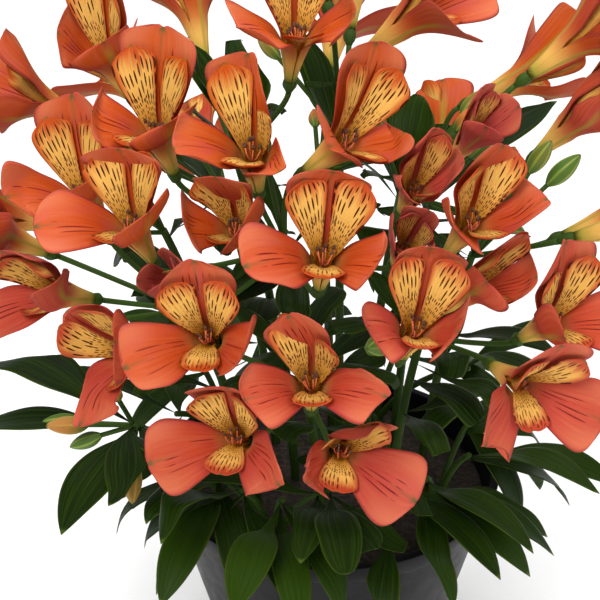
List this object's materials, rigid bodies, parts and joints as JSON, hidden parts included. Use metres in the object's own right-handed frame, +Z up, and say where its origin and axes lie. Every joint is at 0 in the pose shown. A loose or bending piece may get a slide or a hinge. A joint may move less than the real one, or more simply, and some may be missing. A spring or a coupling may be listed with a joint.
{
  "type": "potted peruvian lily",
  "caption": "Bushy peruvian lily in a tapered plastic pot, with coral and yellow funnel-shaped blooms over leafy stems",
  "frame": {"origin": "middle of the pot's underside", "axes": "+Z up along the pot's axis, -Y towards the front of the picture"},
  "size_m": [0.3608, 0.3597, 0.4362],
  "materials": {
    "pot": "smooth, semi-gloss, nearly black",
    "soil": "crumbly dark compost",
    "foliage": "satin dark green leaves with paler veins",
    "petal": "soft coral petals, yellow inside with dark streaks"
  },
  "bodies": {
    "root": {"bloom_01": "petal", "bloom_02": "petal", "bloom_03": "petal", "bloom_04": "petal", "bloom_05": "petal", "bloom_06": "petal", "bloom_07": "petal", "bloom_08": "petal", "bloom_09": "petal", "bloom_10": "petal", "bloom_11": "petal", "bloom_12": "petal", "bloom_13": "petal", "bloom_14": "petal", "bloom_15": "petal", "bloom_16": "petal", "bloom_17": "petal", "bloom_18": "petal", "bloom_19": "petal", "bloom_20": "petal", "bloom_21": "petal", "bloom_22": "petal", "bloom_23": "petal", "bloom_24": "petal", "bloom_25": "petal", "bloom_26": "petal", "bloom_27": "petal", "bloom_28": "petal", "bloom_29": "petal", "bloom_30": "petal", "bloom_31": "petal", "bloom_32": "petal", "bloom_33": "petal", "bloom_34": "petal", "bloom_35": "petal", "bloom_36": "petal", "bloom_37": "petal", "bloom_38": "petal", "bloom_39": "petal", "bloom_40": "petal", "pot": "pot", "shoots_01": "foliage", "shoots_02": "foliage", "shoots_03": "foliage", "shoots_04": "foliage", "soil": "soil", "stem_01": "foliage", "stem_02": "foliage", "stem_03": "foliage", "stem_04": "foliage", "stem_05": "foliage", "stem_06": "foliage", "stem_07": "foliage", "stem_08": "foliage", "stem_09": "foliage", "stem_10": "foliage", "stem_11": "foliage", "stem_12": "foliage", "stem_13": "foliage"}
  },
  "joints": []
}
